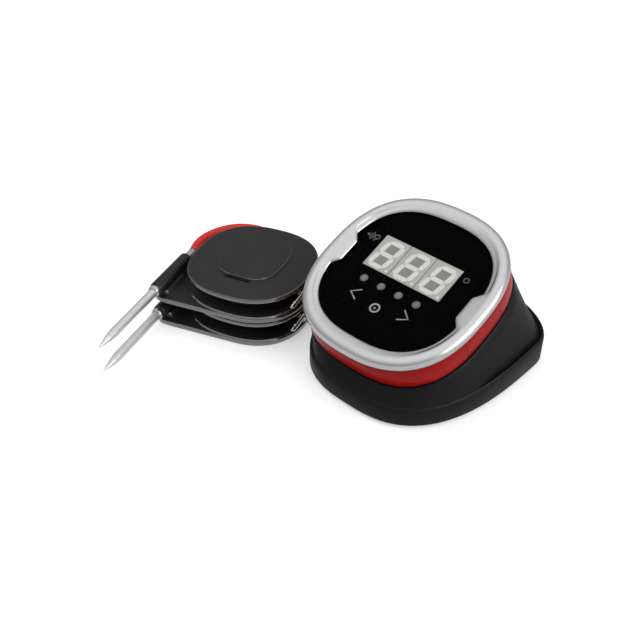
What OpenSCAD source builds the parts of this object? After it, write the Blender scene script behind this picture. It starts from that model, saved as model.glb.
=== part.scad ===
/* [Display head] */
// half width of the bright bezel, across the display (mm)
bezel_a = 39.3; // [30:0.1:60]
// half depth of the bezel, along the sloping face (mm)
bezel_b = 41.1; // [30:0.1:60]
// lean of the face from level (degrees)
tilt = 20.8; // [0:0.1:40]
// height of the centre of the face above the surface (mm)
face_z = 43.6; // [35:0.1:60]
// position of the centre of the face, front to back (mm)
face_y = -10.5; // [-20:0.1:10]
// height of the coloured ring under the bezel (mm)
ring_h = 11.4; // [6:0.1:14]

/* [Base] */
// half width of the footprint (mm)
foot_a = 44.2; // [40:0.1:60]
// offset of the footprint to the right of the axis of the head (mm)
foot_x = 2.6; // [-5:0.1:5]
// reach of the footprint in front of the axis of the unit (mm)
foot_front = 47.9; // [40:0.1:60]
// reach of the footprint behind the axis of the unit (mm)
foot_back = 48.1; // [40:0.1:70]
// height of the upright skirt at the front (mm)
skirt_front = 9.3; // [5:0.1:15]
// rise of the skirt towards the back (mm per mm)
skirt_rise = 0.06; // [0:0.01:0.3]

/* [Probe wraps] */
// stacking pitch of one wrap (mm)
wrap_pitch = 12.8; // [10:0.1:20]
// centre of the wraps, left to right (mm)
wrap_x = -71.2; // [-90:0.1:-65]
// centre of the wraps, front to back (mm)
wrap_y = -25.3; // [-40:0.1:20]
// turn of the wraps about the upright axis (degrees)
wrap_turn = 18.5; // [-90:0.5:90]

/* [Probes] */
// needle diameter (mm)
needle_d = 4.0; // [2:0.1:6]
// needle length beyond the grip (mm)
needle_len = 43.0; // [30:0.1:120]
// grip diameter (mm)
grip_d = 6.4; // [5:0.1:12]
// grip length (mm)
grip_len = 27; // [15:0.5:60]
// diameter of the coloured sleeve on the cable (mm)
sleeve_d = 4.5; // [3:0.1:6]
// bore of a probe jack (mm)
jack_d = 2.6; // [2.5:0.05:3.6]

/* [Hidden] */
$fn = 48;
NB = 96;
NR = 120;
NP = 180;
face_n = 2.47;
art_x = -1.3;
disp_w = 39.4;
disp_h = 17.4;
disp_y = 6.9;
dots_x = -1.9;
dots_y = -7.5;
dot_pitch = 9.0;
digit_pitch = 13.2;
ring_top = -3.3;
ring_bot = ring_top - ring_h;
shell_a = bezel_a - 2.9;
shell_b = bezel_b - 2.9;
rim_w = ring_bot - 0.8;
plate_t = 2.2;
floor_w = ring_bot - 0.3;
jack_w = -7.7;
jack_y = 5.6;
jack_face = shell_a - 0.2;
cover_half = 11.2;
cover_lo = ring_bot + 1.2;
cover_hi = ring_top - 1.3;
foot_y0 = 25.6;
egg_n = 2.77;
egg_nb = 2.0;
ledge_w = 1.1;
ledge_d = 1.3;
pan_z0 = 0.8;
pan_z1 = 3.0;
door_hx = 28.6;
door_y0 = 2.0;
door_y1 = 36.6;
door_z = 1.9;
cell_r = 7.1;
cell_z = 11.3;
hub_r = 10;
disc_x = -1.8;
disc_a = 28.0;
disc_b = 28.3;
disc_n = 2.45;
boss_y = 2.4;
boss_a = 14.7;
boss_b = 16.8;
boss_n = 3.0;
tab_top = 2.4;
groove_lo = 3.0;
groove_hi = 10.5;
cap_top = 12.7;
mid_z = 6.7;
probe_x = -35;
grip_front = -30.2;
plug_x = 25.2;
plug_tip = -17;
coil_r0 = 11.6;
coil_r1 = 21.4;
coil_z0 = 3.1;
coil_z1 = 10.3;
cable_d = 2.3;
// the routes of the loose cable, in the wrap's own axes
route_in = [[1.8, 25.1, 6.8], [3.6, 24.1, 7.6], [6, 22.2, 8.6], [8.5, 19.8, 9], [10.8, 17.2, 9]];
route_out = [[3.2, 20.2, 6.5], [8.2, 20.4, 6.5], [13.4, 19.9, 6.5], [18.4, 18.2, 6.5], [22.6, 15.4, 6.6],
             [24.7, 13.2, 6.7], [25.2, 11.6, 6.7], [25.2, 10.56, 6.7]];

RED = [0.72, 0.05, 0.06];
BLACK = [0.05, 0.05, 0.055];
STEEL = [0.75, 0.75, 0.77];

// ---- rounded-square outlines and lofts -------------------------------------------------
function sgp(v, p) = sign(v) * pow(abs(v), p);
function sq(a, b, n, t) = [a * sgp(cos(t), 2 / n), b * sgp(sin(t), 2 / n)];
function outline(a, b, n, N) = [for (i = [0:N - 1]) sq(a, b, n, 360 * i / N)];
function lift(pts, w) = [for (p = pts) [p[0], p[1], w]];
function flat(R) = [for (r = R) for (p = r) p];
function sides(m, n, wrap) = [for (k = [0:m - (wrap ? 1 : 2)]) for (i = [0:n - 1]) for (h = [0, 1])
    let (k2 = (k + 1) % m, j = (i + 1) % n)
    h == 0 ? [k * n + i, k2 * n + i, k2 * n + j] : [k * n + i, k2 * n + j, k * n + j]];

module loft(R) {
    n = len(R[0]);
    m = len(R);
    polyhedron(points = flat(R),
        faces = concat(sides(m, n, false), [[for (i = [0:n - 1]) i]],
                       [[for (i = [n - 1:-1:0]) (m - 1) * n + i]]), convexity = 8);
}

module ring_loft(R) {
    polyhedron(points = flat(R), faces = sides(len(R), len(R[0]), true), convexity = 8);
}

// tube of radius r swept along route P, with one ring of n points at each of its points
function unit(v) = v / norm(v);
function tangent(P, i) = unit(P[min(i + 1, len(P) - 1)] - P[max(i - 1, 0)]);
module tube(P, r, n) {
    loft([for (i = [0:len(P) - 1]) let (t = tangent(P, i), side = unit(cross(t, [0, 0, 1])),
        up = cross(side, t)) [for (k = [0:n - 1])
            P[i] + r * cos(360 * k / n) * side + r * sin(360 * k / n) * up]]);
}
// points on a cubic curve with end points A, D and handles B, C
function bez(A, B, C, D, n) = [for (i = [0:n]) let (t = i / n, u = 1 - t)
    u * u * u * A + 3 * u * u * t * B + 3 * u * t * t * C + t * t * t * D];

module head() { translate([0, face_y, face_z]) rotate([tilt, 0, 0]) children(); }
module wrap(k) {
    translate([wrap_x, wrap_y, k * wrap_pitch]) rotate([0, 0, wrap_turn]) children();
}
module along_y() { rotate([-90, 0, 0]) children(); }
module slab(a, b, n, z0, z1, N = NR) {
    translate([0, 0, z0]) linear_extrude(height = z1 - z0) polygon(outline(a, b, n, N));
}

// ---- display head ----------------------------------------------------------------------
tab_x = 29.3;
tab_y = 5.5;
tab_k = 0.78;
function tab_r(c, s) = (tab_x / max(c, 0.01)) * s <= tab_y ? tab_x / max(c, 0.01)
    : (c - tab_k * s > 0.05 ? (tab_x - tab_k * tab_y) / (c - tab_k * s) : 200);
// inside edge of the bezel: a rounded square with one straight tab on each side
function inner_edge(grow) = [for (i = [0:NR - 1]) let (
    p = sq(32.6 + grow, 33.0 + grow, 2.64, 360 * i / NR), r = norm(p),
    rt = tab_r(abs(p[0]) / r, abs(p[1]) / r) + grow) p * min(r, rt) / r];

module bezel() {
    color([0.8, 0.8, 0.82]) head() ring_loft([
        lift(outline(shell_a + 0.1, shell_b + 0.1, 2.55, NR), ring_top + 0.1),
        lift(outline(bezel_a - 1.1, bezel_b - 1.4, 2.55, NR), ring_top + 0.1),
        lift(outline(bezel_a - 0.5, bezel_b - 0.6, 2.5, NR), -2.7),
        lift(outline(bezel_a - 0.1, bezel_b - 0.1, face_n, NR), -1.9),
        lift(outline(bezel_a, bezel_b, face_n, NR), -1.0),
        lift(outline(bezel_a - 0.3, bezel_b - 0.3, face_n, NR), 0.2),
        lift(outline(bezel_a - 0.9, bezel_b - 0.9, face_n, NR), 1.1),
        lift(outline(bezel_a - 1.8, bezel_b - 1.9, face_n, NR), 1.7),
        lift(outline(bezel_a - 2.8, bezel_b - 3.0, 2.48, NR), 1.9),
        lift(outline(bezel_a - 3.8, bezel_b - 4.1, 2.5, NR), 1.75),
        lift(inner_edge(1.6), 1.1),
        lift(inner_edge(0.6), 0.55),
        lift(inner_edge(0), 0.1),
        lift(inner_edge(0), -0.2),
        lift(outline(shell_a + 0.1, shell_b + 0.1, 2.55, NR), -0.2)]);
}

module face_window() { color([0.1, 0.1, 0.1, 0.35]) head() slab(shell_a, shell_b, 2.55, -1.1, -0.3); }

module dot_at(i) { translate([dots_x + (i - 1.5) * dot_pitch, dots_y]) children(); }
module digit_cell(i) { translate([art_x + (i - 1) * digit_pitch, disp_y]) children(); }

module face_mask() {
    color(BLACK) head() difference() {
        slab(shell_a, shell_b, 2.55, -1.9, -1.2);
        translate([art_x - disp_w / 2 - 0.15, disp_y - disp_h / 2 - 0.15, -3])
            cube([disp_w + 0.3, disp_h + 0.3, 3]);
        for (i = [0:3]) dot_at(i) translate([0, 0, -3]) cylinder(r = 1.85, h = 3);
    }
}

module display_module() {
    color([0.78, 0.79, 0.77]) head() difference() {
        translate([art_x - disp_w / 2, disp_y - disp_h / 2, -10.1]) cube([disp_w, disp_h, 8.75]);
        for (i = [-0.5, 0.5]) translate([art_x + i * digit_pitch - 0.2, disp_y - 15, -1.85])
            cube([0.4, 30, 2]);
    }
}

// seven-segment bars, slanted
seg_w = 2.1;
seg_h = 6.6;
seg_l = 7.0;
slant = 0.15;
function lean(p) = [p[0] + slant * p[1], p[1]];
function bar(c, l, horiz) = [for (q = [[-l / 2, 0], [-l / 2 + seg_w / 2, seg_w / 2],
    [l / 2 - seg_w / 2, seg_w / 2], [l / 2, 0], [l / 2 - seg_w / 2, -seg_w / 2],
    [-l / 2 + seg_w / 2, -seg_w / 2]]) lean(c + (horiz ? q : [q[1], q[0]]))];
module display_segments() {
    color([0.93, 0.94, 0.93]) head() for (i = [0:2]) digit_cell(i) translate([0, -0.4, -1.34])
        linear_extrude(height = 0.16) {
            for (k = [-1, 0, 1]) polygon(bar([0, k * seg_h], seg_l, true));
            for (s = [-1, 1]) for (k = [-0.5, 0.5])
                polygon(bar([s * seg_l / 2 + s * 0.12, k * seg_h], seg_h - 0.25, false));
            translate([seg_l / 2 + 1.5, -seg_h - 0.2]) circle(r = 0.7);
        }
}

module indicator_lenses() {
    color([0.62, 0.64, 0.64]) head() for (i = [0:3])
        dot_at(i) translate([0, 0, -1.9]) cylinder(r = 1.75, h = 0.7);
}

module touch_film() {
    color([0.25, 0.2, 0.1]) head() translate([art_x - 19, -22, -2.5]) cube([38, 11, 0.5]);
}

module head_shell() {
    color(BLACK) difference() {
        union() {
            head() slab(shell_a, shell_b, 2.55, floor_w, -2.0);
            head() translate([0, 0, rim_w - plate_t - 2.3]) cylinder(r = hub_r, h = 6);
        }
        head() slab(shell_a - 1.8, shell_b - 1.8, 2.55, floor_w + 1.7, 1);
        head() translate([0, 0, -30]) cylinder(r = 6.5, h = 30);
        head() for (s = [-1, 1]) for (t = [-1, 1]) translate([s * (shell_a - 8), t * jack_y, jack_w])
            rotate([0, s * 90, 0]) cylinder(r = 2.6, h = 20);
        // groove that takes the retaining clip
        head() translate([0, 0, rim_w - plate_t - 1.4]) rotate_extrude()
            translate([hub_r - 1.2, 0]) square([3, 1.0]);
    }
}

module ring_body() {
    head() ring_loft([
        lift(outline(shell_a + 0.1, shell_b + 0.1, 2.55, NB), ring_bot),
        lift(outline(bezel_a - 2.1, bezel_b - 2.0, 2.7, NB), ring_bot),
        lift(outline(bezel_a - 1.4, bezel_b - 1.3, 2.7, NB), ring_bot + 0.5),
        lift(outline(bezel_a - 1.1, bezel_b - 1.0, 2.68, NB), ring_bot + 1.3),
        lift(outline(bezel_a - 0.85, bezel_b - 0.8, 2.65, NB), ring_bot + 4),
        lift(outline(bezel_a - 0.95, bezel_b - 0.95, 2.62, NB), ring_top - 3),
        lift(outline(bezel_a - 1.3, bezel_b - 1.5, 2.58, NB), ring_top - 0.6),
        lift(outline(bezel_a - 1.6, bezel_b - 1.9, 2.55, NB), ring_top),
        lift(outline(shell_a + 0.1, shell_b + 0.1, 2.55, NB), ring_top)]);
}

module cover_window(s, gap) {
    head() translate([s > 0 ? 30 : -50, -cover_half - gap, cover_lo - gap])
        cube([20, 2 * (cover_half + gap), cover_hi - cover_lo + 2 * gap]);
}

module accent_ring() {
    color(RED) difference() {
        ring_body();
        cover_window(-1, 0.2);
        cover_window(1, 0.2);
    }
}

module port_cover(s) {
    color(RED) intersection() {
        ring_body();
        cover_window(s, 0);
    }
}
module port_cover_left() { port_cover(-1); }
module port_cover_right() { port_cover(1); }

module jack(s, t) {
    color([0.12, 0.12, 0.12]) head() translate([0, t * jack_y, jack_w]) rotate([0, s * 90, 0])
        difference() {
            union() {
                translate([-2.4, -3.1, jack_face - 14]) cube([4.8, 6.2, 11.4]);
                translate([0, 0, jack_face - 3]) cylinder(r = 2.4, h = 3);
            }
            translate([0, 0, jack_face - 11]) cylinder(r = jack_d / 2, h = 12);
        }
}
module jack_left_front() { jack(-1, -1); }
module jack_left_back() { jack(-1, 1); }
module jack_right_front() { jack(1, -1); }
module jack_right_back() { jack(1, 1); }

module main_board() {
    color([0.05, 0.25, 0.12]) head() difference() {
        slab(shell_a - 2.6, shell_b - 2.6, 2.6, -11.8, -10.2);
        translate([0, -18, -13]) cylinder(r = 4, h = 4);
    }
}
module radio_module() { color(STEEL) head() translate([-24, -20, -10.15]) cube([12, 9, 2]); }
module processor() { color(BLACK) head() translate([12, 20, -10.15]) cube([8, 8, 1.2]); }
module buzzer() {
    color(BLACK) head() translate([16, -18, -10.15]) difference() {
        cylinder(r = 5.5, h = 4.2);
        translate([0, 0, 3]) cylinder(r = 1, h = 2);
    }
}

module pivot_clip() {
    color(STEEL) head() translate([0, 0, rim_w - plate_t - 1.2]) difference() {
        cylinder(r = hub_r + 1.8, h = 0.8);
        translate([0, 0, -1]) cylinder(r = hub_r - 1.0, h = 3);
        translate([-2.5, 0, -1]) cube([5, 20, 3]);
    }
}

// ---- base ------------------------------------------------------------------------------
function egg(inset) = [for (i = [0:NB - 1]) let (t = 360 * i / NB)
    let (p = sq(foot_a - inset, (sin(t) < 0 ? foot_front + foot_y0 : foot_back - foot_y0) - inset,
        sin(t) < 0 ? egg_n : egg_nb, t)) [foot_x + p[0], foot_y0 + p[1]]];
function skirt(y) = skirt_front + skirt_rise * (y + foot_front);
// the ledge over the skirt: none at the front, growing to full width by the middle of the sides
function ramp(y) = let (u = min(max((y + 16) / 16, 0), 1)) u * u * (3 - 2 * u);
function rim(inset, w) = [for (p = outline(bezel_a - 0.5 - inset, bezel_b - 0.4 - inset, 2.66, NB))
    [p[0], face_y + p[1] * cos(tilt) - w * sin(tilt), face_z + p[1] * sin(tilt) + w * cos(tilt)]];
function shoulder(inset, dz) = [for (p = egg(inset)) [p[0], p[1], skirt(p[1]) + dz]];
function crease(inset, dz) = let (A = egg(inset), B = egg(inset + ledge_w)) [for (i = [0:NB - 1])
    let (k = ramp(A[i][1])) [A[i][0] + k * (B[i][0] - A[i][0]), A[i][1] + k * (B[i][1] - A[i][1]),
     skirt(A[i][1]) + dz - ledge_d * k]];
function mix(A, B, v, p) = [for (i = [0:len(A) - 1]) let (h = 1 - pow(1 - v, p))
    [A[i][0] + (B[i][0] - A[i][0]) * h, A[i][1] + (B[i][1] - A[i][1]) * h,
     A[i][2] + (B[i][2] - A[i][2]) * v]];
scoop = 0.96;
function wall(S, T) = [for (v = [0.12, 0.28, 0.46, 0.66, 0.84]) mix(S, T, v, scoop)];

module base_shell() {
    S = crease(1.3, 0.1);
    T = rim(0, rim_w - 0.7);
    S2 = crease(3.5, -2.3);
    T2 = rim(2.6, rim_w - plate_t);
    color(BLACK) difference() {
        loft(concat([lift(egg(1.1), pan_z0), lift(egg(0.35), pan_z0 + 0.5), lift(egg(0), pan_z0 + 1.4),
            shoulder(0.1, -1.7), shoulder(0.3, -0.9), shoulder(0.6, -0.35), shoulder(1.0, 0), S],
            wall(S, T), [T, rim(0.7, rim_w)]));
        loft(concat([lift(egg(2.7), -1), lift(egg(2.7), pan_z1 + 0.3), crease(2.9, -3.5), S2],
            wall(S2, T2), [T2]));
        head() translate([0, 0, rim_w - 10]) cylinder(r = hub_r + 0.06, h = 20);
    }
    // screw bosses, carried up to the inside of the shell
    color(BLACK) difference() {
        intersection() {
            loft(concat([lift(egg(1.4), 0)], wall(crease(2.4, -1.1), rim(1.3, rim_w - 1.1)),
                [rim(1.3, rim_w - 1.1)]));
            for (q = screw_at) translate([q[0], q[1], pan_z1 + 0.1]) cylinder(r = 2.6, h = 50);
        }
        for (q = screw_at) translate([q[0], q[1], pan_z1 - 1]) cylinder(r = 1.1, h = 9);
    }
}
screw_at = [[-26, -24], [31, -24], [-32, 31], [36, 31]];

module door_shape(gap) {
    translate([-door_hx - gap, door_y0 - gap, pan_z0 - 1])
        cube([2 * (door_hx + gap), door_y1 - door_y0 + 2 * gap, 6]);
}

module base_pan() {
    color(BLACK) difference() {
        translate([0, 0, pan_z0]) linear_extrude(height = pan_z1 - pan_z0) polygon(egg(2.95));
        door_shape(0.3);
        translate([-door_hx - 2.4, door_y0 + 1, door_z]) rotate([0, 90, 0])
            cylinder(r = 0.76, h = 2 * door_hx + 4.8);
        for (q = screw_at) translate([q[0], q[1], 0]) {
            cylinder(r = 1.35, h = 6);
            cylinder(r = 2.6, h = pan_z0 + 1.15);
        }
    }
}

module rubber_foot() {
    color([0.08, 0.08, 0.08]) linear_extrude(height = pan_z0) difference() {
        polygon(egg(2.2));
        difference() {
            union() {
                polygon(egg(5.6));
                translate([-door_hx - 0.5, door_y0]) square([2 * door_hx + 1, door_y1 - door_y0 + 0.5]);
            }
            translate([-60, -60]) square([120, 61.2]);
        }
        for (q = screw_at) translate(q) circle(r = 3.2);
    }
}

module battery_door() {
    color(BLACK) difference() {
        union() {
            translate([-door_hx, door_y0 + 1, door_z - 1.0]) cube([2 * door_hx, door_y1 - door_y0 - 1, 2.0]);
            translate([-door_hx, door_y0 + 1, door_z]) rotate([0, 90, 0])
                cylinder(r = 1.0, h = 2 * door_hx);
            translate([-door_hx - 2, door_y0 + 1, door_z]) rotate([0, 90, 0])
                cylinder(r = 0.7, h = 2 * door_hx + 4);
        }
        // finger notch
        translate([0, door_y1 + 1, door_z - 2]) cylinder(r = 5, h = 4);
    }
}

cell_y = [10.0, 25.2];
module cell(y) {
    color([0.75, 0.6, 0.2]) translate([0, y, cell_z]) rotate([0, 90, 0]) union() {
        translate([0, 0, -24.6]) cylinder(r = cell_r, h = 49.2);
        translate([0, 0, 24.6]) cylinder(r = 2.7, h = 1.0);
    }
}
module battery_front() { cell(cell_y[0]); }
module battery_back() { mirror([1, 0, 0]) cell(cell_y[1]); }

// room for the two cells: an arched box of half length x over the height z0
module cell_room(r, x, z0) {
    hull() {
        for (y = cell_y) translate([-x, y, cell_z]) rotate([0, 90, 0]) cylinder(r = r, h = 2 * x);
        translate([-x, cell_y[0] - r, z0]) cube([2 * x, cell_y[1] - cell_y[0] + 2 * r, 1]);
    }
}
module battery_tray() {
    color(BLACK) difference() {
        cell_room(cell_r + 1.6, 28.2, pan_z1 + 0.1);
        cell_room(cell_r + 0.4, 27, pan_z1 - 1);
        translate([-30, 0, 0]) cube([60, 40, pan_z1 + 0.1]);
    }
}
module contact(s) {
    color(STEEL) {
        translate([s * 26.8 - 0.2, cell_y[0] - 5, cell_z - 5]) cube([0.4, 25.2, 10]);
        translate([s > 0 ? 25.7 : -26.6, cell_y[s > 0 ? 0 : 1], cell_z]) rotate([0, 90, 0])
            cylinder(r = 1.6, h = 0.9);
        translate([s > 0 ? 24.7 : -26.6, cell_y[s > 0 ? 1 : 0], cell_z]) rotate([0, 90, 0])
            cylinder(r = 3.2, h = 1.9);
    }
}
module contact_left() { contact(-1); }
module contact_right() { contact(1); }

module base_magnets() {
    color(STEEL) for (s = [-1, 1]) translate([s * 15, -24, pan_z1 + 0.05]) cylinder(r = 7, h = 3);
}

module base_screws() {
    color(STEEL) for (q = screw_at) translate([q[0], q[1], pan_z0 + 1.15]) difference() {
        union() {
            translate([0, 0, -0.9]) cylinder(r = 2.3, h = 0.9);
            translate([0, 0, -0.1]) cylinder(r = 1.05, h = 7);
        }
        translate([-1.4, -0.25, -1.2]) cube([2.8, 0.5, 0.7]);
    }
}

// ---- probe wraps -----------------------------------------------------------------------
module disc_at() { translate([disc_x, 0, 0]) children(); }
module boss_at() { translate([disc_x, boss_y, 0]) children(); }

// outline of the flange with its tab: the disc, or the tab's rounded polygon where that reaches further
tab_sides = [[180, 36.2], [-87.6, 28.35], [138, 24.3], [90, 14], [0, 6]];
function tab_reach(t) = pow(sum([for (e = tab_sides) pow(max(cos(t - e[0]), 0) / e[1], 16)]), -1 / 16);
function sum(v) = v * [for (i = v) 1];
function disc_reach(t) = pow(pow(abs(cos(t)) / disc_a, disc_n) + pow(abs(sin(t)) / disc_b, disc_n),
    -1 / disc_n);
function plate(inset, z) = [for (i = [0:NP - 1]) let (t = 360 * i / NP,
    r = max(disc_reach(t), tab_reach(t)) - inset) [r * cos(t), r * sin(t), z]];
function disc(inset, z) = lift(outline(disc_a - inset, disc_b - inset, disc_n, NR), z);

module cradle() {
    r = grip_d / 2 + 0.2;
    difference() {
        translate([probe_x - 0.9, -26.5, tab_top - 0.4]) cube([r + 1.5, 13.5, mid_z - 0.9 - tab_top]);
        translate([probe_x, -28, mid_z]) along_y() cylinder(r = r, h = 16);
        translate([probe_x - 12, -28, mid_z - r]) cube([12, 16, 2 * r]);
    }
}

module wrap_body(k) {
    color(BLACK) wrap(k) difference() {
        union() {
            disc_at() loft([plate(0.5, 0), plate(0.1, 0.3), plate(0, 0.8), plate(0, tab_top - 0.6),
                plate(0.15, tab_top - 0.2), plate(0.5, tab_top)]);
            disc_at() loft([disc(0.7, 0.2), disc(0.12, 0.6), disc(0, 1.1), disc(0, groove_lo - 0.9),
                disc(0.2, groove_lo - 0.4), disc(0.7, groove_lo)]);
            disc_at() cylinder(r = coil_r0 - 0.2, h = groove_hi - 0.05);
            cradle();
        }
        // recess that seats on the boss of the wrap below
        boss_at() translate([0, 0, -1]) slab(boss_a + 0.5, boss_b + 0.5, boss_n, 0, 2.35);
        disc_at() translate([0, 0, 5]) cylinder(r = 2.6, h = 8);
    }
}

module wrap_cap(k) {
    color(BLACK) wrap(k) difference() {
        union() {
            disc_at() loft([disc(0.7, groove_hi), disc(0.2, groove_hi + 0.25), disc(0, groove_hi + 0.7),
                disc(0, cap_top - 0.9), disc(0.25, cap_top - 0.35), disc(0.9, cap_top)]);
            boss_at() loft([for (q = [[0, -0.5], [0, 0.6], [0.12, 0.85], [0.4, 1]])
                lift(outline(boss_a - q[0], boss_b - q[0], boss_n, NB), cap_top + q[1])]);
            disc_at() translate([0, 0, 6]) cylinder(r = 2.4, h = 6);
        }
        // thumb slot against the front of the boss
        translate([-8.8, boss_y - boss_b - 1.4, groove_hi - 1]) cube([12.8, 1.6, 5]);
    }
}

module cable_coil(k) {
    color([0.2, 0.2, 0.2]) wrap(k) disc_at() rotate_extrude($fn = 96) polygon([
        [coil_r0, coil_z0], [coil_r1 - 0.6, coil_z0], [coil_r1, coil_z0 + 0.7],
        [coil_r1, coil_z1 - 0.7], [coil_r1 - 0.6, coil_z1], [coil_r0, coil_z1]]);
}

// the cable between the sleeve and the winding, and between the winding and the stowed plug
module cable_in(k) { color([0.2, 0.2, 0.2]) wrap(k) tube(route_in, cable_d / 2, 8); }
module cable_out(k) { color([0.2, 0.2, 0.2]) wrap(k) tube(route_out, cable_d / 2, 8); }

module needle(k) {
    r = needle_d / 2;
    color(STEEL) wrap(k) translate([probe_x, grip_front, mid_z]) rotate([90, 0, 0])
        translate([0, 0, -9]) rotate_extrude() polygon([[0, 0], [r, 0], [r, 9 + needle_len - 11],
            [r * 0.8, 9 + needle_len - 6.5], [0.25, 9 + needle_len], [0, 9 + needle_len]]);
}
module collar(k) {
    color(STEEL) wrap(k) translate([probe_x, grip_front, mid_z]) rotate([90, 0, 0])
        rotate_extrude() polygon([[needle_d / 2 + 0.05, 0.02], [2.75, 0.02], [2.75, 1.6], [2.45, 2.1],
            [needle_d / 2 + 0.05, 2.1]]);
}
module grip(k) {
    r = grip_d / 2;
    color(BLACK) wrap(k) translate([probe_x, grip_front, mid_z]) along_y() rotate_extrude() polygon([
        [needle_d / 2 + 0.05, 0], [r - 0.5, 0], [r, 0.8], [r, grip_len - 0.8], [r - 0.6, grip_len],
        [2.1, grip_len], [2.1, grip_len - 5], [0, grip_len - 5], [0, 9.1], [needle_d / 2 + 0.05, 9.1]]);
}
module ferrule(k) {
    color(STEEL) wrap(k) translate([probe_x, grip_front + grip_len - 4.9, mid_z]) along_y()
        cylinder(r = 2.0, h = 10.6);
}
// strain-relief sleeve: leaves the ferrule, swings out and returns towards the winding
sleeve_path = concat([[probe_x, 2.6, mid_z]],
    bez([probe_x, 4, mid_z], [-39, 14, mid_z], [-32, 28.5, mid_z], [-20, 31, mid_z], 14),
    [for (i = [1:6]) bez([-20, 31, mid_z], [-12, 32.6, mid_z], [-5, 29.5, mid_z], [1, 25.6, mid_z], 6)[i]]);
module sleeve(k) { color(RED) wrap(k) tube(sleeve_path, sleeve_d / 2, 16); }

module plug_metal(k) {
    color(STEEL) wrap(k) translate([plug_x, plug_tip, mid_z]) along_y() rotate_extrude() polygon([
        [0, 0], [0.5, 0.1], [1.15, 1.2], [1.2, 2.0], [0.85, 2.5], [1.25, 3.1], [1.25, 9.6], [2.2, 9.6],
        [2.2, 11], [0, 11]]);
}
module plug_grip(k) {
    color(BLACK) wrap(k) translate([plug_x, plug_tip + 11.05, mid_z]) along_y() rotate_extrude() polygon([
        [0, 0], [2.7, 0], [3.0, 0.5], [3.0, 11.5], [1.9, 16.5], [0, 16.5]]);
}

module lower_wrap_body() { wrap_body(0); }
module lower_wrap_cap() { wrap_cap(0); }
module lower_cable_coil() { cable_coil(0); }
module lower_cable_in() { cable_in(0); }
module lower_cable_out() { cable_out(0); }
module lower_needle() { needle(0); }
module lower_collar() { collar(0); }
module lower_grip() { grip(0); }
module lower_ferrule() { ferrule(0); }
module lower_sleeve() { sleeve(0); }
module lower_plug_metal() { plug_metal(0); }
module lower_plug_grip() { plug_grip(0); }
module upper_wrap_body() { wrap_body(1); }
module upper_wrap_cap() { wrap_cap(1); }
module upper_cable_coil() { cable_coil(1); }
module upper_cable_in() { cable_in(1); }
module upper_cable_out() { cable_out(1); }
module upper_needle() { needle(1); }
module upper_collar() { collar(1); }
module upper_grip() { grip(1); }
module upper_ferrule() { ferrule(1); }
module upper_sleeve() { sleeve(1); }
module upper_plug_metal() { plug_metal(1); }
module upper_plug_grip() { plug_grip(1); }

bezel();
face_window();
face_mask();
display_module();
display_segments();
indicator_lenses();
touch_film();
head_shell();
accent_ring();
port_cover_left();
port_cover_right();
jack_left_front();
jack_left_back();
jack_right_front();
jack_right_back();
main_board();
radio_module();
processor();
buzzer();
pivot_clip();
base_shell();
base_pan();
rubber_foot();
battery_door();
battery_front();
battery_back();
battery_tray();
contact_left();
contact_right();
base_magnets();
base_screws();
lower_wrap_body();
lower_wrap_cap();
lower_cable_coil();
lower_cable_in();
lower_cable_out();
lower_needle();
lower_collar();
lower_grip();
lower_ferrule();
lower_sleeve();
lower_plug_metal();
lower_plug_grip();
upper_wrap_body();
upper_wrap_cap();
upper_cable_coil();
upper_cable_in();
upper_cable_out();
upper_needle();
upper_collar();
upper_grip();
upper_ferrule();
upper_sleeve();
upper_plug_metal();
upper_plug_grip();
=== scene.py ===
"""Looks of a digital cooking thermometer: a head on a wedge base, two probes on cable wraps."""
import math

import bpy
from mathutils import Matrix, Vector


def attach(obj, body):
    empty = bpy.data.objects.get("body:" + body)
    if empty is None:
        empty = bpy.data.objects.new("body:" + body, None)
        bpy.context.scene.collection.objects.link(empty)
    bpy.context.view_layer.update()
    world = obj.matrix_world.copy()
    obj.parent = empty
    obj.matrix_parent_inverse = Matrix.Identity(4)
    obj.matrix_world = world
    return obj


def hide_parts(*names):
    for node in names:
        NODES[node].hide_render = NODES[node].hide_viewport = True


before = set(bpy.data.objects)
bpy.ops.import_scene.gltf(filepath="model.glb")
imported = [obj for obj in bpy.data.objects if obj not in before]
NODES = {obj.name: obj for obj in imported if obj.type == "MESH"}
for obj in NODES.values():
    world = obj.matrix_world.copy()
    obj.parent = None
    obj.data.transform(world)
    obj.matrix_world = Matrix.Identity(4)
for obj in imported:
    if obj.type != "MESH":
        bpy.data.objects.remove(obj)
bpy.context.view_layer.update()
MM = 0.001

# ---- places, in millimetres and degrees, the same as in the CAD source --------------------------
TILT = math.radians(20.8)
FACE = Vector((0, -10.5, 43.6))
HEAD = Matrix.Translation(FACE) @ Matrix.Rotation(TILT, 4, "X")
WRAP_PITCH = 12.8
BEZEL_A, BEZEL_B, BEZEL_N = 39.3, 41.1, 2.47
SHELL_A, SHELL_B = BEZEL_A - 2.9, BEZEL_B - 2.9
WRAP_X, WRAP_Y, WRAP_TURN = -71.2, -25.3, 18.5
DISC_X = -1.8
DISPLAY_X, DISPLAY_Y, DIGIT_PITCH = -1.3, 6.9, 13.2
DOTS_X, DOTS_Y, DOT_PITCH = -1.9, -7.5, 9.0
CABLE_D = 2.3
# the cable's way from the red sleeve to the winding, and from the winding to the plug
ROUTE_IN = [(1.05, 25.55, 6.7), (1.8, 25.1, 6.8), (3.6, 24.1, 7.6), (6, 22.2, 8.6), (8.5, 19.8, 9)]
ROUTE_OUT = [(3.2, 20.2, 6.5), (8.2, 20.4, 6.5), (13.4, 19.9, 6.5), (18.4, 18.2, 6.5),
             (22.6, 15.4, 6.6), (24.7, 13.2, 6.7), (25.2, 11.6, 6.7), (25.2, 10.56, 6.7)]


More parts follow.
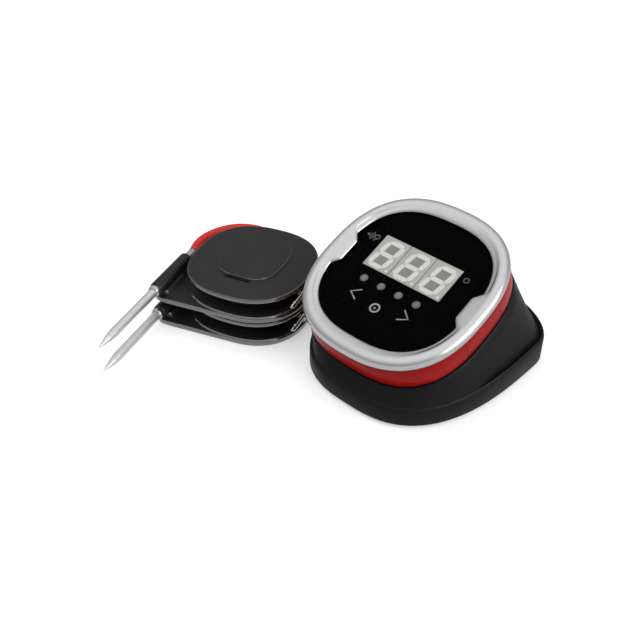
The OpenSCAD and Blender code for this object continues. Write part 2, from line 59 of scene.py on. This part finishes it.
def wrap_frame(level):
    """Axes of one cable wrap: level 0 is the lower one, 1 the upper."""
    place = Matrix.Translation(Vector((WRAP_X, WRAP_Y, level * WRAP_PITCH)))
    return place @ Matrix.Rotation(math.radians(WRAP_TURN), 4, "Z")


# ---- camera -----------------------------------------------------------------------------------
CAMERA_TARGET = Vector((-43.4, -13.5, 0))
CAMERA_AZIMUTH = math.radians(42.6)
CAMERA_ELEVATION = math.radians(38.8)
CAMERA_DISTANCE = 412.5
CAMERA_LENS = 50.6
CAMERA_SENSOR = 36


def add_camera():
    data = bpy.data.cameras.new("camera")
    data.lens = CAMERA_LENS
    data.sensor_width = CAMERA_SENSOR
    data.clip_start = 10 * MM
    camera = bpy.data.objects.new("camera", data)
    bpy.context.scene.collection.objects.link(camera)
    level = math.cos(CAMERA_ELEVATION)
    toward = Vector((level * math.sin(CAMERA_AZIMUTH), -level * math.cos(CAMERA_AZIMUTH),
                     math.sin(CAMERA_ELEVATION)))
    camera.location = (CAMERA_TARGET + CAMERA_DISTANCE * toward) * MM
    camera.rotation_euler = toward.to_track_quat("Z", "Y").to_euler()
    bpy.context.scene.camera = camera


add_camera()


# ---- materials --------------------------------------------------------------------------------
def shader(name, color, roughness, metallic=0.0, **sockets):
    """A Principled material; sockets set constants such as Coat_Weight by their names."""
    material = bpy.data.materials.new(name)
    material.use_nodes = True
    bsdf = material.node_tree.nodes["Principled BSDF"]
    bsdf.inputs["Base Color"].default_value = (*color, 1)
    bsdf.inputs["Roughness"].default_value = roughness
    bsdf.inputs["Metallic"].default_value = metallic
    for key, value in sockets.items():
        bsdf.inputs[key.replace("_", " ")].default_value = value
    return material, material.node_tree, bsdf


def scaled(color, factor):
    return tuple(c * factor for c in color)


def noise(tree, scale, detail=3.0, stretch=(1, 1, 1)):
    """Noise in the object's own space; scale is in features per metre."""
    place = tree.nodes.new("ShaderNodeTexCoord")
    mapping = tree.nodes.new("ShaderNodeMapping")
    mapping.inputs["Scale"].default_value = stretch
    texture = tree.nodes.new("ShaderNodeTexNoise")
    texture.inputs["Scale"].default_value = scale
    texture.inputs["Detail"].default_value = detail
    tree.links.new(place.outputs["Object"], mapping.inputs["Vector"])
    tree.links.new(mapping.outputs["Vector"], texture.inputs["Vector"])
    return texture.outputs["Fac"]


def ramp(tree, fac, low, high, start=0.3, end=0.7):
    """Maps the range start to end of a factor to the range low to high. The defaults suit noise."""
    node = tree.nodes.new("ShaderNodeMapRange")
    node.inputs["From Min"].default_value = start
    node.inputs["From Max"].default_value = end
    node.inputs["To Min"].default_value = low
    node.inputs["To Max"].default_value = high
    tree.links.new(fac, node.inputs["Value"])
    return node.outputs["Result"]


def tint(tree, fac, dark, light):
    """Blends two colours by a factor. Each is a colour or the output of another node."""
    node = tree.nodes.new("ShaderNodeMix")
    node.data_type = "RGBA"
    for key, color in (("A", dark), ("B", light)):
        if isinstance(color, tuple):
            node.inputs[key].default_value = (*color, 1)
        else:
            tree.links.new(color, node.inputs[key])
    tree.links.new(fac, node.inputs["Factor"])
    return node.outputs["Result"]


def upward(tree, direction):
    """How far a direction of the texture coordinates points up, from -1 to 1."""
    place = tree.nodes.new("ShaderNodeTexCoord")
    split = tree.nodes.new("ShaderNodeSeparateXYZ")
    tree.links.new(place.outputs[direction], split.inputs["Vector"])
    return split.outputs["Z"]


def bump(tree, bsdf, height, distance):
    """Relief of the given depth in metres."""
    node = tree.nodes.new("ShaderNodeBump")
    node.inputs["Distance"].default_value = distance
    tree.links.new(height, node.inputs["Height"])
    tree.links.new(node.outputs["Normal"], bsdf.inputs["Normal"])


MOTTLE = 90  # slow changes of shade, in features per metre


def moulded(name, color, roughness, grain=4500, depth=0.00001, spread=0.25, **sockets):
    """Moulded plastic or rubber: fine spark-eroded grain and slow changes of sheen and shade."""
    material, tree, bsdf = shader(name, color, roughness, **sockets)
    slow = noise(tree, MOTTLE, 4)
    shade = tint(tree, slow, scaled(color, 1 - spread), scaled(color, 1 + spread))
    tree.links.new(shade, bsdf.inputs["Base Color"])
    tree.links.new(ramp(tree, slow, roughness * 0.88, roughness * 1.12), bsdf.inputs["Roughness"])
    bump(tree, bsdf, noise(tree, grain, 2), depth)
    return material


def metal(name, color, roughness, stretch=(1, 1, 1), grain=2500, depth=0.000004):
    """Bare metal; a small number in stretch draws its marks out along that axis."""
    material, tree, bsdf = shader(name, color, roughness, 1.0)
    marks = noise(tree, grain, 3, stretch)
    tree.links.new(tint(tree, marks, scaled(color, 0.92), color), bsdf.inputs["Base Color"])
    tree.links.new(ramp(tree, marks, roughness * 0.8, roughness * 1.25), bsdf.inputs["Roughness"])
    bump(tree, bsdf, marks, depth)
    return material


def braid(name, dark, light):
    """Braided cable jacket: two families of crossing strands laid out on the tube's UVs."""
    material, tree, bsdf = shader(name, light, roughness=0.45, metallic=0.2)
    place = tree.nodes.new("ShaderNodeTexCoord")
    waves = []
    for turn in (45, -45):
        mapping = tree.nodes.new("ShaderNodeMapping")
        mapping.inputs["Rotation"].default_value = (0, 0, math.radians(turn))
        wave = tree.nodes.new("ShaderNodeTexWave")
        wave.inputs["Scale"].default_value = 1.6
        tree.links.new(place.outputs["UV"], mapping.inputs["Vector"])
        tree.links.new(mapping.outputs["Vector"], wave.inputs["Vector"])
        waves.append(wave.outputs["Fac"])
    cross = tree.nodes.new("ShaderNodeMath")
    cross.operation = "MAXIMUM"
    tree.links.new(waves[0], cross.inputs[0])
    tree.links.new(waves[1], cross.inputs[1])
    tree.links.new(tint(tree, cross.outputs["Value"], dark, light), bsdf.inputs["Base Color"])
    bump(tree, bsdf, cross.outputs["Value"], 0.00012)
    return material


def window_glass():
    """Thin clear window: mostly see-through, so the print behind it keeps its depth."""
    material, tree, bsdf = shader("window", (0.002, 0.002, 0.002), 0.1, Alpha=0.05,
                                  Specular_IOR_Level=0.12)
    tree.links.new(ramp(tree, noise(tree, 60), 0.13, 0.17), bsdf.inputs["Roughness"])
    return material


def black_print():
    """Dead black print on the back of the window, a little uneven."""
    dark, light = (0.0006, 0.0006, 0.0006), (0.0014, 0.0014, 0.0013)
    material, tree, bsdf = shader("print_black", light, 0.6, Specular_IOR_Level=0.0)
    tree.links.new(tint(tree, noise(tree, 60), dark, light), bsdf.inputs["Base Color"])
    return material


# a lighter colour painted on the rims as a highlight where they catch the light
RIM_PAINTED_HIGHLIGHT = (0.036, 0.034, 0.033)
RIM_TO_FLAT = (0.75, 0.97)  # how far a normal points up or down: at the rims, and on the flats


def wrap_plastic(name, color):
    """Moulded wrap: spark-eroded flats; coated, polished rims with a painted highlight in their
    colour.
    """
    material, tree, bsdf = shader(name, color, 0.5, Coat_IOR=2.6, Coat_Roughness=0.15)
    mottle = tint(tree, noise(tree, MOTTLE, 4), scaled(color, 0.8), scaled(color, 1.2))
    flat = tree.nodes.new("ShaderNodeMath")
    flat.operation = "ABSOLUTE"
    tree.links.new(upward(tree, "Normal"), flat.inputs[0])
    sheen = ramp(tree, flat.outputs["Value"], 0.2, 0.62, *RIM_TO_FLAT)
    # this factor sets the rims' clear coat and also their painted highlight colour
    polish_and_painted_highlight = ramp(tree, flat.outputs["Value"], 1.0, 0.0, *RIM_TO_FLAT)
    tree.links.new(sheen, bsdf.inputs["Roughness"])
    tree.links.new(polish_and_painted_highlight, bsdf.inputs["Coat Weight"])
    # the rims take the lighter base colour: a painted highlight
    tree.links.new(tint(tree, polish_and_painted_highlight, mottle, RIM_PAINTED_HIGHLIGHT), bsdf.inputs["Base Color"])
    bump(tree, bsdf, noise(tree, 5500, 2), 0.000012)
    return material


RED = (0.25, 0.0006, 0.0004)
MAT = {
    "bright": metal("bright_metal", (0.78, 0.78, 0.785), 0.27, (1, 1, 1), 45, 0),
    "window": window_glass(),
    "print_black": black_print(),
    "print_grey": moulded("print_grey", (0.30, 0.30, 0.28), 0.5),
    "print_faint": moulded("print_faint", (0.10, 0.10, 0.095), 0.5),
    "panel": moulded("panel_grey", (0.38, 0.38, 0.35), 0.5, 1500, 0.00001, 0.06),
    "segment": moulded("segment_white", (0.60, 0.60, 0.56), 0.5, 1500, 0.00001, 0.04),
    "gap": moulded("digit_gap", (0.20, 0.21, 0.19), 0.45, 1500, 0.00001, 0.06),
    "lens": moulded("lens_grey", (0.12, 0.12, 0.115), 0.35),
    "film": moulded("film_amber", (0.35, 0.2, 0.05), 0.4),
    "shell": moulded("shell_black", (0.008, 0.008, 0.009), 0.5, Specular_IOR_Level=0.3),
    "soft": moulded("soft_black", (0.0058, 0.006, 0.0068), 0.45, 6000, 0.000008,
                    Specular_IOR_Level=0.16),
    "foot": moulded("foot_rubber", (0.008, 0.008, 0.008), 0.8, 3000, 0.00003,
                    Specular_IOR_Level=0.3),
    "red": moulded("ring_red", RED, 0.3, 5000, 0.000002, 0.1, Specular_IOR_Level=0.15),
    "cover": moulded("cover_red", RED, 0.33, 5000, 0.000003, 0.1, Specular_IOR_Level=0.15),
    "sleeve": moulded("sleeve_red", (0.5, 0.012, 0.008), 0.42, 3500, 0.00001, 0.12,
                      Specular_IOR_Level=0.4),
    "board": moulded("board_green", (0.01, 0.10, 0.04), 0.35),
    "chip": moulded("chip_black", (0.015, 0.015, 0.015), 0.5),
    "steel": metal("plain_steel", (0.62, 0.62, 0.63), 0.25),
    "needle": metal("needle_steel", (0.92, 0.92, 0.92), 0.42, (1, 1, 0.12), 5000, 0.000002),
    "nickel": metal("plug_nickel", (0.75, 0.74, 0.71), 0.16),
    "cell": metal("cell_jacket", (0.30, 0.18, 0.04), 0.35),
    "wrap": wrap_plastic("wrap_black", (0.0085, 0.0085, 0.009)),
    "grip": moulded("grip_black", (0.006, 0.006, 0.006), 0.38, 4000, 0.00001,
                    Specular_IOR_Level=0.4),
    "cable": braid("cable_braid", (0.005, 0.005, 0.005), (0.022, 0.022, 0.023)),
}


# ---- mesh helpers -----------------------------------------------------------------------------
def power(value, exponent):
    """A power that keeps the sign of its base."""
    return math.copysign(abs(value) ** exponent, value)


def squircle(a, b, n, t):
    """The point at parameter t of a rounded square with half sizes a and b and exponent n."""
    return Vector((a * power(math.cos(t), 2 / n), b * power(math.sin(t), 2 / n), 0))


RING_POINTS = 240


def outline(a, b, n, w):
    """Rounded-square ring of points at height w."""
    ring = [squircle(a, b, n, 2 * math.pi * i / RING_POINTS) for i in range(RING_POINTS)]
    return [Vector((p.x, p.y, w)) for p in ring]


def add_mesh(name, points, faces, axes, material, body, smooth=True, uv=None):
    """Builds a piece from millimetre points given in axes, and hangs it on a CAD body."""
    mesh = bpy.data.meshes.new(name)
    mesh.from_pydata([(axes @ Vector(p)) * MM for p in points], [], faces)
    mesh.materials.append(MAT[material])
    mesh.polygons.foreach_set("use_smooth", [smooth] * len(mesh.polygons))
    if uv is not None:
        layer = mesh.uv_layers.new(name="UVMap")
        for loop in mesh.loops:
            layer.data[loop.index].uv = uv[loop.vertex_index]
    mesh.validate()
    mesh.update()
    piece = bpy.data.objects.new(name, mesh)
    bpy.context.scene.collection.objects.link(piece)
    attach(piece, body)
    return piece


def skin(rings, closed=False):
    """Faces that join equal rings of points, with two end caps when the skin isn't closed."""
    count, last = len(rings[0]), len(rings)
    points = [p for ring in rings for p in ring]
    faces = []
    for k in range(last if closed else last - 1):
        for i in range(count):
            a, b = k * count + i, k * count + (i + 1) % count
            c, d = (k + 1) % last * count + (i + 1) % count, (k + 1) % last * count + i
            faces.append((a, b, c, d))
    if not closed:
        faces.append(tuple(reversed(range(count))))
        faces.append(tuple((last - 1) * count + i for i in range(count)))
    return points, faces


def spline(points, step):
    """Even points on a smooth curve through the given points."""
    pts = [Vector(p) for p in points]
    out = []
    for i in range(len(pts) - 1):
        p0, p1, p2, p3 = pts[max(i - 1, 0)], pts[i], pts[i + 1], pts[min(i + 2, len(pts) - 1)]
        pieces = max(1, round((p2 - p1).length / step))
        for k in range(pieces):
            t = k / pieces
            out.append(0.5 * (2 * p1 + (p2 - p0) * t + (2 * p0 - 5 * p1 + 4 * p2 - p3) * t * t
                              + (3 * p1 - p0 - 3 * p2 + p3) * t ** 3))
    out.append(pts[-1])
    return out


UV_AROUND, UV_ALONG = 6.0, 0.8  # texture units once round a tube, and along one millimetre


def tube(path, radius, count=12):
    """Rings swept along a path, and a texture place for each of their points."""
    rings, uv, length = [], [], 0.0
    turn = [2 * math.pi * k / count for k in range(count)]
    for i, point in enumerate(path):
        ahead = (path[min(i + 1, len(path) - 1)] - path[max(i - 1, 0)]).normalized()
        side = ahead.cross(Vector((0, 0, 1))).normalized()
        up = side.cross(ahead)
        if i:
            length += (point - path[i - 1]).length
        rings.append([point + radius * (math.cos(t) * side + math.sin(t) * up) for t in turn])
        uv += [(UV_AROUND * k / count, length * UV_ALONG) for k in range(count)]
    return rings, uv


# ---- cords: real turns of cable on each wrap ---------------------------------------------------
# the winding's places, (radius, height) in the order in which the cable fills them
LAYERS = [(20.1, 9.0), (17.75, 9.0), (15.4, 9.0), (13.05, 9.0), (13.05, 6.65), (13.05, 4.3),
          (15.4, 4.3), (15.4, 6.65), (17.75, 6.65), (17.75, 4.3), (20.1, 4.3), (20.1, 6.65)]
# degrees: where the winding starts, its first and last turns, and the step from place to place
FIRST_ANGLE, FIRST_SWEEP, LAST_SWEEP, STEP = 54, 300, 236, 22
STEP_POINTS = 4
POINT_ANGLE = 8
ROUTE_SPACING = 0.9


def winding():
    """Cable turns, clockwise from above. Each steps on just before the one under it did."""
    points = []
    angle = FIRST_ANGLE
    for k, (r, z) in enumerate(LAYERS):
        sweep = FIRST_SWEEP if k == 0 else 360 - 2 * STEP
        if k == len(LAYERS) - 1:
            sweep = LAST_SWEEP
        steps = round(sweep / POINT_ANGLE)
        for i in range(steps):
            turn = math.radians(angle - sweep * i / steps)
            points.append(Vector((DISC_X + r * math.cos(turn), r * math.sin(turn), z)))
        angle -= sweep
        if k < len(LAYERS) - 1:
            next_r, next_z = LAYERS[k + 1]
            for i in range(STEP_POINTS):
                share = 0.5 - 0.5 * math.cos(math.pi * i / STEP_POINTS)
                turn = math.radians(angle - STEP * i / STEP_POINTS)
                here = r + (next_r - r) * share
                points.append(Vector((DISC_X + here * math.cos(turn), here * math.sin(turn),
                                      z + (next_z - z) * share)))
            angle -= STEP
    return points


def add_cable(prefix, level):
    axes = wrap_frame(level)
    path = spline(ROUTE_IN, ROUTE_SPACING) + winding() + spline(ROUTE_OUT, ROUTE_SPACING)
    rings, uv = tube(path, CABLE_D / 2)
    points, faces = skin(rings)
    cable = add_mesh(prefix + "cable", points, faces, axes, "cable",
                     "wrap_" + prefix[:-1], uv=uv)
    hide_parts(prefix + "cable_coil", prefix + "cable_in", prefix + "cable_out")


for level, prefix in enumerate(("lower_", "upper_")):
    add_cable(prefix, level)


# ---- carried-over CAD pieces: smooth shading, soft edges, materials -------------------------------
CREASE = math.radians(32)  # edges sharper than this stay crisp or get a bevel
FLAT = math.radians(0.4)  # faces flatter than this to each other are merged first


def finish_cad(name, material, edge):
    """Welds and shades a CAD node, rounds its crisp edges by edge mm, and gives it its material."""
    piece = NODES[name]
    mesh = piece.data
    if "custom_normal" in mesh.attributes:
        mesh.attributes.remove(mesh.attributes["custom_normal"])
    mesh.polygons.foreach_set("use_smooth", [True] * len(mesh.polygons))
    mesh.materials.clear()
    mesh.materials.append(MAT[material])
    weld = piece.modifiers.new("weld", "WELD")
    weld.merge_threshold = 0.002 * MM
    if edge:
        flatten = piece.modifiers.new("flatten", "DECIMATE")
        flatten.decimate_type = "DISSOLVE"
        flatten.angle_limit = FLAT
        bevel = piece.modifiers.new("soft_edges", "BEVEL")
        bevel.width = edge * MM
        bevel.segments = 3
        bevel.angle_limit = CREASE
        bevel.harden_normals = False
    smooth = piece.modifiers.new("shade", "NODES")
    smooth.node_group = SHADING


def shade_group():
    """Geometry nodes that keep only edges sharper than CREASE as creases."""
    group = bpy.data.node_groups.new("crease_shading", "GeometryNodeTree")
    group.interface.new_socket("Geometry", in_out="INPUT", socket_type="NodeSocketGeometry")
    group.interface.new_socket("Geometry", in_out="OUTPUT", socket_type="NodeSocketGeometry")
    start = group.nodes.new("NodeGroupInput")
    end = group.nodes.new("NodeGroupOutput")
    edge_angle = group.nodes.new("GeometryNodeInputMeshEdgeAngle")
    under = group.nodes.new("FunctionNodeCompare")
    under.operation = "LESS_THAN"
    under.inputs["B"].default_value = CREASE
    edges = group.nodes.new("GeometryNodeSetShadeSmooth")
    edges.domain = "EDGE"
    group.links.new(start.outputs[0], edges.inputs["Geometry"])
    group.links.new(edge_angle.outputs["Unsigned Angle"], under.inputs["A"])
    group.links.new(under.outputs["Result"], edges.inputs["Shade Smooth"])
    group.links.new(edges.outputs["Geometry"], end.inputs[0])
    return group


SHADING = shade_group()
# node: (material, width of its soft edges in mm)
PLAIN = {
    "face_window": ("window", 0), "face_mask": ("print_black", 0),
    "display_module": ("panel", 0.12), "display_segments": ("segment", 0),
    "indicator_lenses": ("lens", 0.1), "touch_film": ("film", 0),
    "head_shell": ("shell", 0.2), "accent_ring": ("red", 0),
    "port_cover_left": ("cover", 0.25), "port_cover_right": ("cover", 0.25),
    "jack_left_front": ("chip", 0.1), "jack_left_back": ("chip", 0.1),
    "jack_right_front": ("chip", 0.1), "jack_right_back": ("chip", 0.1),
    "main_board": ("board", 0), "radio_module": ("steel", 0.2), "processor": ("chip", 0.1),
    "buzzer": ("chip", 0.2), "pivot_clip": ("steel", 0.1),
    "base_shell": ("soft", 0), "base_pan": ("shell", 0.2), "rubber_foot": ("foot", 0),
    "battery_door": ("shell", 0.25), "battery_front": ("cell", 0.4), "battery_back": ("cell", 0.4),
    "battery_tray": ("shell", 0.2), "contact_left": ("steel", 0.05),
    "contact_right": ("steel", 0.05), "base_magnets": ("nickel", 0.3), "base_screws": ("steel", 0.1),
}
for name, (material, edge) in PLAIN.items():
    finish_cad(name, material, edge)
WRAP_PARTS = {
    "wrap_body": ("wrap", 0.3), "wrap_cap": ("wrap", 0.3), "needle": ("needle", 0),
    "collar": ("steel", 0.15), "grip": ("grip", 0.2), "ferrule": ("steel", 0.3),
    "sleeve": ("sleeve", 0.2), "plug_metal": ("nickel", 0), "plug_grip": ("grip", 0.2),
}
for prefix in ("lower_", "upper_"):
    for name, (material, edge) in WRAP_PARTS.items():
        finish_cad(prefix + name, material, edge)


# ---- bezel: bright ring with a crown and one straight tab on each side ---------------------------
# the tabs: half the gap between them, half their length, the slope of their ends
TAB_X, TAB_Y, TAB_K = 29.3, 5.5, 0.78
INNER_A, INNER_B, INNER_N = 32.6, 33.0, 2.64
# (inset across, inset along, exponent, height) from the underside to the crown
RING_TOP = [
    (1.1, 1.4, 2.55, -3.2), (0.6, 0.75, 2.52, -2.95), (0.3, 0.35, 2.5, -2.4),
    (0.1, 0.1, BEZEL_N, -1.8), (0, 0, BEZEL_N, -1.0), (0.12, 0.12, BEZEL_N, -0.2),
    (0.45, 0.45, BEZEL_N, 0.6), (1.0, 1.05, BEZEL_N, 1.2), (1.8, 1.9, BEZEL_N, 1.65),
    (2.8, 3.0, 2.48, 1.85), (3.7, 4.0, 2.5, 1.78), (4.6, 5.1, 2.54, 1.5)]
# (outset, height) from the crown down to the face
RING_INSIDE = [(1.9, 1.2), (1.2, 0.95), (0.6, 0.7), (0.2, 0.4), (0, 0.1), (0, -0.2)]
SEAT_GAP = 0.1
NO_TAB = 200  # a radius beyond the ring, for directions that miss the tabs


def inner_edge(grow, w):
    """Inside edge of the bezel, grown outwards, at height w."""
    ring = []
    for i in range(RING_POINTS):
        p = squircle(INNER_A + grow, INNER_B + grow, INNER_N, 2 * math.pi * i / RING_POINTS)
        r = p.length
        c, s = max(abs(p.x) / r, 0.01), abs(p.y) / r
        limit = TAB_X / c
        if limit * s > TAB_Y:
            slope = c - TAB_K * s
            limit = (TAB_X - TAB_K * TAB_Y) / slope if slope > 0.05 else NO_TAB
        p = p * (min(r, limit + grow) / r)
        ring.append(Vector((p.x, p.y, w)))
    return ring


def add_bezel():
    seat = SHELL_A + SEAT_GAP, SHELL_B + SEAT_GAP, 2.55
    rings = [outline(*seat, RING_TOP[0][-1])]
    rings += [outline(BEZEL_A - a, BEZEL_B - b, n, w) for a, b, n, w in RING_TOP]
    rings += [inner_edge(grow, w) for grow, w in RING_INSIDE]
    rings.append(outline(*seat, RING_INSIDE[-1][-1]))
    points, faces = skin(rings, closed=True)
    bezel = add_mesh("bezel_ring", points, faces, HEAD, "bright", "head")
    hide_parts("bezel")


add_bezel()


# ---- printed marks on the face -------------------------------------------------------------------
# heights of the printed layers on the head's axes
PRINT_W, CHANNEL_W, GAP_W = -1.17, -1.16, -1.335
SAME_POINT = 1e-6


def stroke(path, width, closed):
    """Flat strip along a path of (x, y) points, a loop when closed."""
    pts = [Vector((*p, 0)) for p in path]
    count = len(pts)
    left, right = [], []
    for i, p in enumerate(pts):
        before = pts[i - 1] if i or closed else p
        after = pts[(i + 1) % count] if i + 1 < count or closed else p
        ahead = (after - before).normalized()
        across = Vector((-ahead.y, ahead.x, 0)) * width / 2
        left.append(p + across)
        right.append(p - across)
    faces = [(i, (i + 1) % count, count + (i + 1) % count, count + i)
             for i in range(count if closed else count - 1)]
    return left + right, faces


def arc(cx, cy, r, a0, a1, count=28):
    """Points on an arc from a0 to a1 degrees."""
    return [(cx + r * math.cos(math.radians(a0 + (a1 - a0) * i / count)),
             cy + r * math.sin(math.radians(a0 + (a1 - a0) * i / count))) for i in range(count + 1)]


def add_mark(name, strokes, material, w=PRINT_W):
    """One printed mark made of (path, width) strips, as a thin layer at height w."""
    points, faces = [], []
    for path, width in strokes:
        closed = (Vector(path[0]) - Vector(path[-1])).length < SAME_POINT
        p, f = stroke(path[:-1] if closed else path, width, closed)
        faces += [tuple(len(points) + i for i in face) for face in f]
        points += p
    points = [Vector((p.x, p.y, w)) for p in points]
    add_mesh(name, points, faces, HEAD, material, "head", smooth=False)


def chevron(x, y, way):
    """An arrow head with its tip at x, y, that points right when way is 1 and left when it is -1."""
    return [([(x - way * 3.9, y + 3.0), (x, y), (x - way * 4.2, y - 2.4)], 0.55)]


def power_mark(x, y):
    return [(arc(x, y, 1.95, 0, 360), 0.75), ([(x, y + 0.4), (x, y - 0.6)], 0.7)]


def link_mark(x, y):
    """A dot with two waves to its right."""
    return [(arc(x, y, 0.4, 0, 360, 16), 0.6)] + [(arc(x, y, r, -50, 50), 0.45) for r in (1.5, 2.6)]


def probe_mark(x, y):
    """A small ring with a stem."""
    return [(arc(x, y, 1.1, 0, 360, 20), 0.45), ([(x, y - 1.1), (x - 0.6, y - 2.3)], 0.5)]


add_mark("mark_left", chevron(-16.0, -15.7, -1), "print_grey")
add_mark("mark_right", chevron(13.2, -14.9, 1), "print_grey")
add_mark("mark_power", power_mark(-1.9, -17.3), "print_grey")
add_mark("mark_degree", [(arc(22.0, 12.2, 1.1, 0, 360), 0.4)], "print_faint")
add_mark("mark_link", link_mark(-28.3, 12.0), "print_faint")
add_mark("mark_probe", probe_mark(-24.0, 12.3), "print_faint")
# the small figures at the indicators, as polylines about their middle
DIGITS = {
    1: [[(-0.3, 0.5), (0.1, 0.8), (0.1, -0.8)]],
    2: [[(-0.45, 0.5), (0, 0.8), (0.45, 0.45), (-0.45, -0.8), (0.5, -0.8)]],
    3: [[(-0.45, 0.8), (0.45, 0.8), (0, 0.1), (0.45, -0.35), (0, -0.8), (-0.45, -0.6)]],
    4: [[(0.2, -0.8), (0.2, 0.8), (-0.5, -0.25), (0.5, -0.25)]],
}
for number, lines in DIGITS.items():
    x = DOTS_X + (number - 2.5) * DOT_PITCH
    strokes = [([(x + px, DOTS_Y + py) for px, py in line], 0.3) for line in lines]
    add_mark(f"mark_channel_{number}", strokes, "print_grey", CHANNEL_W)

DIGIT_Y = DISPLAY_Y - 0.4
DIGIT_SLANT = 0.15
LOOP_PITCH = 6.6
LOOP_A, LOOP_B = 2.3, 2.2


def add_digit_gaps():
    """Greyer fields inside the loops of the three digits."""
    points, faces = [], []
    for digit in (-1, 0, 1):
        for loop in (-0.5, 0.5):
            for a, b in ((-1, -1), (1, -1), (1, 1), (-1, 1)):
                up = LOOP_PITCH * loop + b * LOOP_B
                across = digit * DIGIT_PITCH + a * LOOP_A + DIGIT_SLANT * up
                points.append(Vector((DISPLAY_X + across, DIGIT_Y + up, GAP_W)))
            faces.append(tuple(len(points) - 4 + n for n in range(4)))
    add_mesh("digit_gaps", points, faces, HEAD, "gap", "head", smooth=False)


add_digit_gaps()


# ---- stage -----------------------------------------------------------------------------------------
FLOOR_SIDE = 30.0
FLOOR_DROP = 0.1 * MM
FLOOR_GLOW = 0.42


def add_floor():
    """Pale floor, a hair under the object. Glossy surfaces don't mirror it."""
    s = FLOOR_SIDE
    mesh = bpy.data.meshes.new("floor")
    mesh.from_pydata([(-s, -s, 0), (s, -s, 0), (s, s, 0), (-s, s, 0)], [], [(0, 1, 2, 3)])
    mesh.materials.append(shader("floor", (0.6, 0.6, 0.6), 0.9, Emission_Color=(1, 1, 1, 1),
                                 Emission_Strength=FLOOR_GLOW)[0])
    floor = bpy.data.objects.new("floor", mesh)
    floor.location.z = -FLOOR_DROP
    floor.visible_glossy = False
    bpy.context.scene.collection.objects.link(floor)


LIGHT_TARGET = Vector((-0.03, -0.01, 0.02))


def add_light(name, place, size, power_w, mirrored=True):
    """Soft rectangular light; with mirrored off it adds no reflection of itself."""
    data = bpy.data.lights.new(name, "AREA")
    data.energy = power_w
    data.shape = "RECTANGLE"
    data.size, data.size_y = size
    light = bpy.data.objects.new(name, data)
    light.location = place
    light.rotation_euler = (Vector(place) - LIGHT_TARGET).to_track_quat("Z", "Y").to_euler()
    light.visible_glossy = mirrored
    bpy.context.scene.collection.objects.link(light)


# strength of the sky by height: from straight down (0) through the horizon (0.5) to straight up (1)
SKY = [(0.0, 0.6), (0.47, 0.6), (0.51, 0.32), (0.66, 0.36), (0.84, 0.56), (0.93, 0.84), (1.0, 0.86)]


def add_world():
    """White studio, dimmer towards the horizon."""
    world = bpy.data.worlds.new("studio")
    bpy.context.scene.world = world
    world.use_nodes = True
    tree = world.node_tree
    background = tree.nodes["Background"]
    background.inputs["Color"].default_value = (1, 1, 1, 1)
    bands = tree.nodes.new("ShaderNodeValToRGB")
    stops = bands.color_ramp.elements
    while len(stops) < len(SKY):
        stops.new(0.5)
    for stop, (position, level) in zip(stops, SKY):
        stop.position = position
        stop.color = (level, level, level, 1)
    tree.links.new(ramp(tree, upward(tree, "Generated"), 0, 1, -1, 1), bands.inputs["Fac"])
    tree.links.new(bands.outputs["Color"], background.inputs["Strength"])


add_floor()
add_world()
add_light("top", (-0.05, -0.05, 1.2), (1.6, 1.6), 9, mirrored=False)
add_light("right", (0.75, 0.1, 0.42), (0.7, 0.5), 4)
add_light("left", (-0.75, -0.3, 0.45), (0.5, 0.5), 2, mirrored=False)
bpy.context.scene.view_settings.view_transform = "Standard"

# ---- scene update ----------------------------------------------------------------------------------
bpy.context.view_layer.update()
